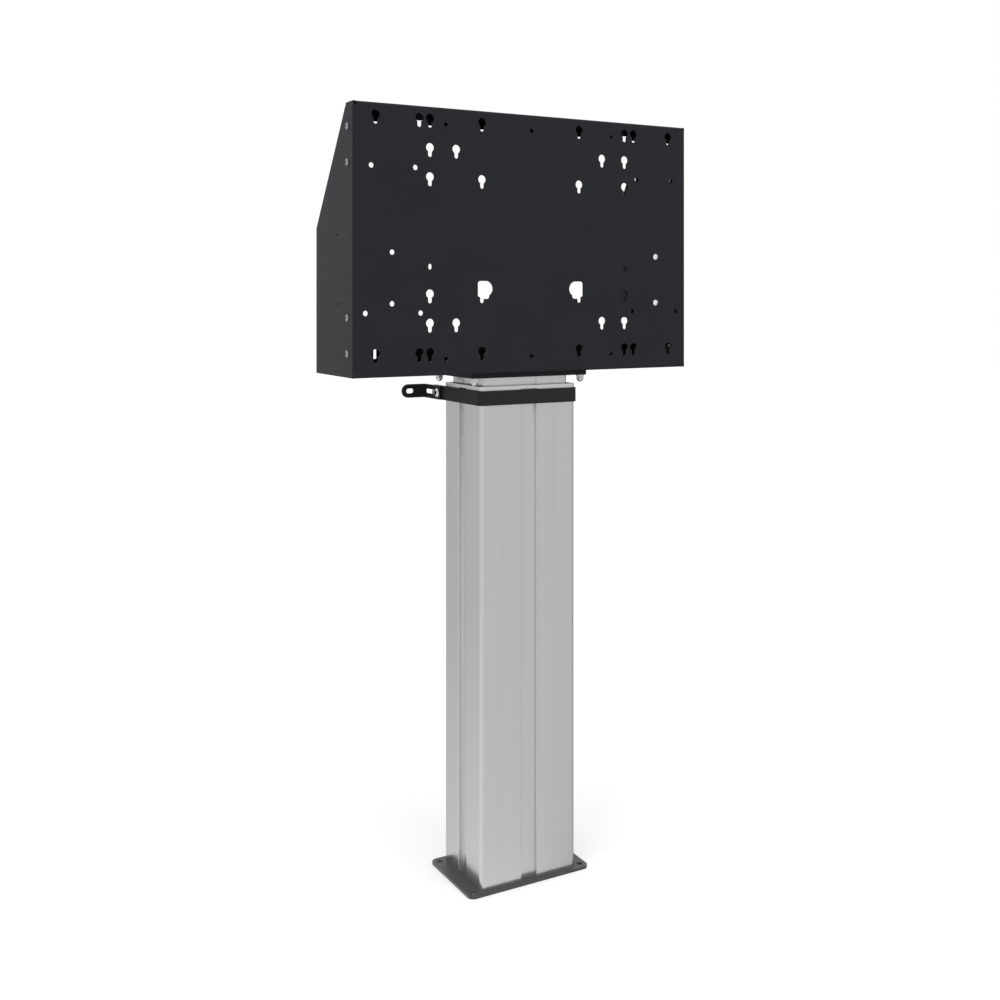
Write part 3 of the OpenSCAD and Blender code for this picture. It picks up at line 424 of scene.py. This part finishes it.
def zinc_plate(name, colour, roughness=0.32):
    """Bright zinc with a slight mottle."""
    finish = Finish(name, colour, roughness, metallic=1)
    finish.shade(finish.noise(3 * MM, detail=3), amount=0.12)
    return finish.polish(finish.noise(1.5 * MM), less=0.08, more=0.12)


def moulded(name, colour, roughness, specular=0.4, grain=0.5 * MM):
    """Moulded plastic or rubber with a spark-eroded grain."""
    finish = Finish(name, colour, roughness, specular=specular)
    finish.shade(finish.noise(25 * MM), amount=0.05)
    finish.polish(finish.noise(6 * MM), less=0.04, more=0.04)
    return finish.relief(finish.noise(grain), depth=0.03 * MM)


def turned(name, colour, roughness):
    """Machined metal with fine rings round the vertical axis."""
    finish = Finish(name, colour, roughness, metallic=1)
    rings = finish.noise(0.5 * MM, stretch=(200, 200, 1), detail=1)
    finish.shade(finish.noise(12 * MM), amount=0.05)
    finish.polish(rings, less=0.06, more=0.08)
    return finish.relief(rings, depth=0.02 * MM)


# Finish of each material slot of the frame
FINISHES = {
    "base_steel": powder_coat("base_paint", (0.064, 0.064, 0.065), 0.42, specular=0.4),
    "column_aluminium": grooved("column_anodising", (0.497, 0.497, 0.499), 0.24),
    "collar_aluminium": anodised("collar_anodising", (0.56, 0.56, 0.562), 0.3),
    "glide_plastic": moulded("glide_plastic", (0.27, 0.27, 0.275), 0.45),
    "black_steel": powder_coat("black_paint", (0.026, 0.0265, 0.028), 0.42, specular=0.05),
    "frame_steel": powder_coat("anthracite_paint", (0.0215, 0.0225, 0.0275), 0.46, specular=0.078),
    "zinc": zinc_plate("zinc_plate", (0.5, 0.5, 0.505)),
    "black_plastic": moulded("box_plastic", (0.012, 0.012, 0.014), 0.48),
    "grommet_rubber": moulded("grommet_rubber", (0.01, 0.01, 0.01), 0.6, specular=0.3),
    "tube_steel": turned("tube_steel", (0.4, 0.41, 0.42), 0.32),
    "nut_bronze": turned("nut_bronze", (0.5, 0.33, 0.12), 0.3),
    "drive_housing": moulded("housing_paint", (0.08, 0.085, 0.09), 0.45, grain=1.2 * MM),
    "stop_plastic": moulded("stop_plastic", (0.03, 0.03, 0.032), 0.4),
}

# Finish of the nodes that differ from their slot
NODE_FINISHES = {
    "arm_screws": zinc_plate("socket_zinc", (0.6, 0.6, 0.605), 0.3),
    # Painted shade: the head plate's paint is darker than the black paint of its slot, for the shade
    # under the frame
    "head_plate": powder_coat("head_shaded_paint", (0.011, 0.0115, 0.0125), 0.45, specular=0.06),
    "inner_column": anodised("inner_anodising", (0.53, 0.53, 0.532), 0.26, grain=0.001 * MM),
    "bracket_screws": zinc_plate("bright_zinc", (0.8, 0.8, 0.805), 0.28),
    "side_screws": zinc_plate("dull_zinc", (0.3, 0.3, 0.305), 0.4),
}
# Painted shade: the near black colour of the arm screws' socket insides
SOCKET_PAINTED_SHADE = (0.015, 0.015, 0.015)
ARM_SOCKET_R = 4.0 * MM
ARM_SOCKET_DEPTH = 2.75 * MM
SMOOTH_ANGLE = math.radians(28)
BEVEL_ANGLE = math.radians(40)
BEVEL_SEGMENTS = 2
# Width of the broken edges of CAD nodes in millimetres
BEVELS = {
    "base_plate": 0.8,
    "head_plate": 0.8,
    "column_collar": 0.5,
    "clamp_band": 0.5,
    "clamp_bar": 0.5,
    "left_wall_arm": 0.5,
    "right_wall_arm": 0.5,
    "bearing_plate": 0.8,
    "gearbox": 1.5,
    "control_box": 0.8,
    "control_box_lid": 0.8,
    "rear_brace": 0.4,
    "control_bracket": 0.3,
}


def break_edges(piece, width):
    """Rounds a piece's sharp edges by that width in millimetres."""
    bevel = piece.modifiers.new("broken_edges", "BEVEL")
    bevel.width = width * MM
    bevel.segments = BEVEL_SEGMENTS
    bevel.limit_method = "ANGLE"
    bevel.angle_limit = BEVEL_ANGLE


def dress_cad_nodes():
    """Gives each CAD node the finish of its own or of its slot, smooth curves and broken edges."""
    for part in frame["record"]["subparts"]:
        node = frame["nodes"][part["node"]]
        mesh = node.data
        finish = NODE_FINISHES.get(part["node"], FINISHES[part["material_slot"]])
        mesh.materials.clear()
        mesh.materials.append(finish.material)
        mesh.polygons.foreach_set("use_smooth", [True] * len(mesh.polygons))
        mesh.set_sharp_from_angle(angle=SMOOTH_ANGLE)
        if part["node"] in BEVELS:
            break_edges(node, BEVELS[part["node"]])


def node_box(name):
    """The lowest and the highest corner of a CAD node's box."""
    node = frame["nodes"][name]
    corners = [node.matrix_world @ Vector(corner) for corner in node.bound_box]
    axes = list(zip(*corners))
    return Vector([min(axis) for axis in axes]), Vector([max(axis) for axis in axes])


def paint_socket_shade():
    """Paints shade into the arm screws' sockets: their insides are coloured near black."""
    low, high = node_box("arm_screws")
    finish = NODE_FINISHES["arm_screws"]
    inside = finish.within((low + high) / 2, ARM_SOCKET_R, high.x - ARM_SOCKET_DEPTH)
    finish.tint(inside, SOCKET_PAINTED_SHADE)


dress_cad_nodes()
paint_socket_shade()


# Pieces of the scene alone, with their sizes in millimetres

# Outline of the right brace trim, and its bottom and top
TRIM = [
    (327, 85.6),
    (327.5, 85.1),
    (336, 85.1),
    (336.6, 85.7),
    (336.6, 88.4),
    (336, 89),
    (332.15, 89),
    (332.15, 86.05),
    (327, 86.05),
]
TRIM_Z = (924, 967.5)
# Contacts: their places about the middle, half their width and depth, and how thick their floor is
INLET_PINS = [(-7, -2), (7, -2), (0, 3.5)]
INLET_PIN_HALF = (1, 2)
INLET_FLOOR = 1.5
SOCKET_PINS = [(x, y) for x in (-3, -1, 1, 3) for y in (-1.2, 1.2)]
SOCKET_PIN_HALF = (0.3, 0.5)
SOCKET_FLOOR = 1.0
# How far the contacts end inside the opening
CONTACT_SETBACK = 1.0


def add_piece(name, outlines, ends, body, slot, edge=0.2):
    """A piece of upright prisms that share their bottom and top, each with its outline in X and Y."""
    low, high = ends
    shape = bmesh.new()
    for outline in outlines:
        bottom = [shape.verts.new((x, y, low)) for x, y in outline]
        top = [shape.verts.new((x, y, high)) for x, y in outline]
        shape.faces.new(bottom)
        shape.faces.new(top)
        for i in range(len(outline)):
            shape.faces.new((bottom[i - 1], bottom[i], top[i], top[i - 1]))
    bmesh.ops.recalc_face_normals(shape, faces=shape.faces)
    mesh = bpy.data.meshes.new(name)
    shape.to_mesh(mesh)
    shape.free()
    mesh.materials.append(FINISHES[slot].material)
    piece = bpy.data.objects.new(name, mesh)
    bpy.context.scene.collection.objects.link(piece)
    break_edges(piece, edge)
    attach(piece, body)


def add_brace_trims():
    """Rubber strips that close the gaps between the rear brace's ends and the side panels."""
    ends = [z * MM for z in TRIM_Z]
    for side, sign in (("left", -1), ("right", 1)):
        outline = [(sign * x * MM, y * MM) for x, y in TRIM]
        add_piece(f"brace_trim_{side}", [outline], ends, "lift", "grommet_rubber")


def blades(middle, places, half):
    """The outlines of contacts: rectangles at their places about the middle."""
    w, d = half[0] * MM, half[1] * MM
    outlines = []
    for place in places:
        x, y = middle.x + place[0] * MM, middle.y + place[1] * MM
        outlines.append([(x - w, y - d), (x + w, y - d), (x + w, y + d), (x - w, y + d)])
    return outlines


def add_inlet_pins():
    """The contacts in the mains inlet."""
    low, high = node_box("mains_inlet")
    pins = blades((low + high) / 2, INLET_PINS, INLET_PIN_HALF)
    ends = (low.z + CONTACT_SETBACK * MM, high.z - INLET_FLOOR * MM)
    add_piece("inlet_pins", pins, ends, "lift", "zinc")


def add_socket_contacts():
    """The contacts in the two control sockets, which are as wide as deep, at the node's two ends."""
    low, high = node_box("control_sockets")
    half = (high.y - low.y) / 2
    contacts = []
    for x in (low.x + half, high.x - half):
        contacts += blades(Vector((x, low.y + half)), SOCKET_PINS, SOCKET_PIN_HALF)
    ends = (low.z + CONTACT_SETBACK * MM, high.z - SOCKET_FLOOR * MM)
    add_piece("socket_contacts", contacts, ends, "lift", "zinc", edge=0.1)


add_brace_trims()
add_inlet_pins()
add_socket_contacts()
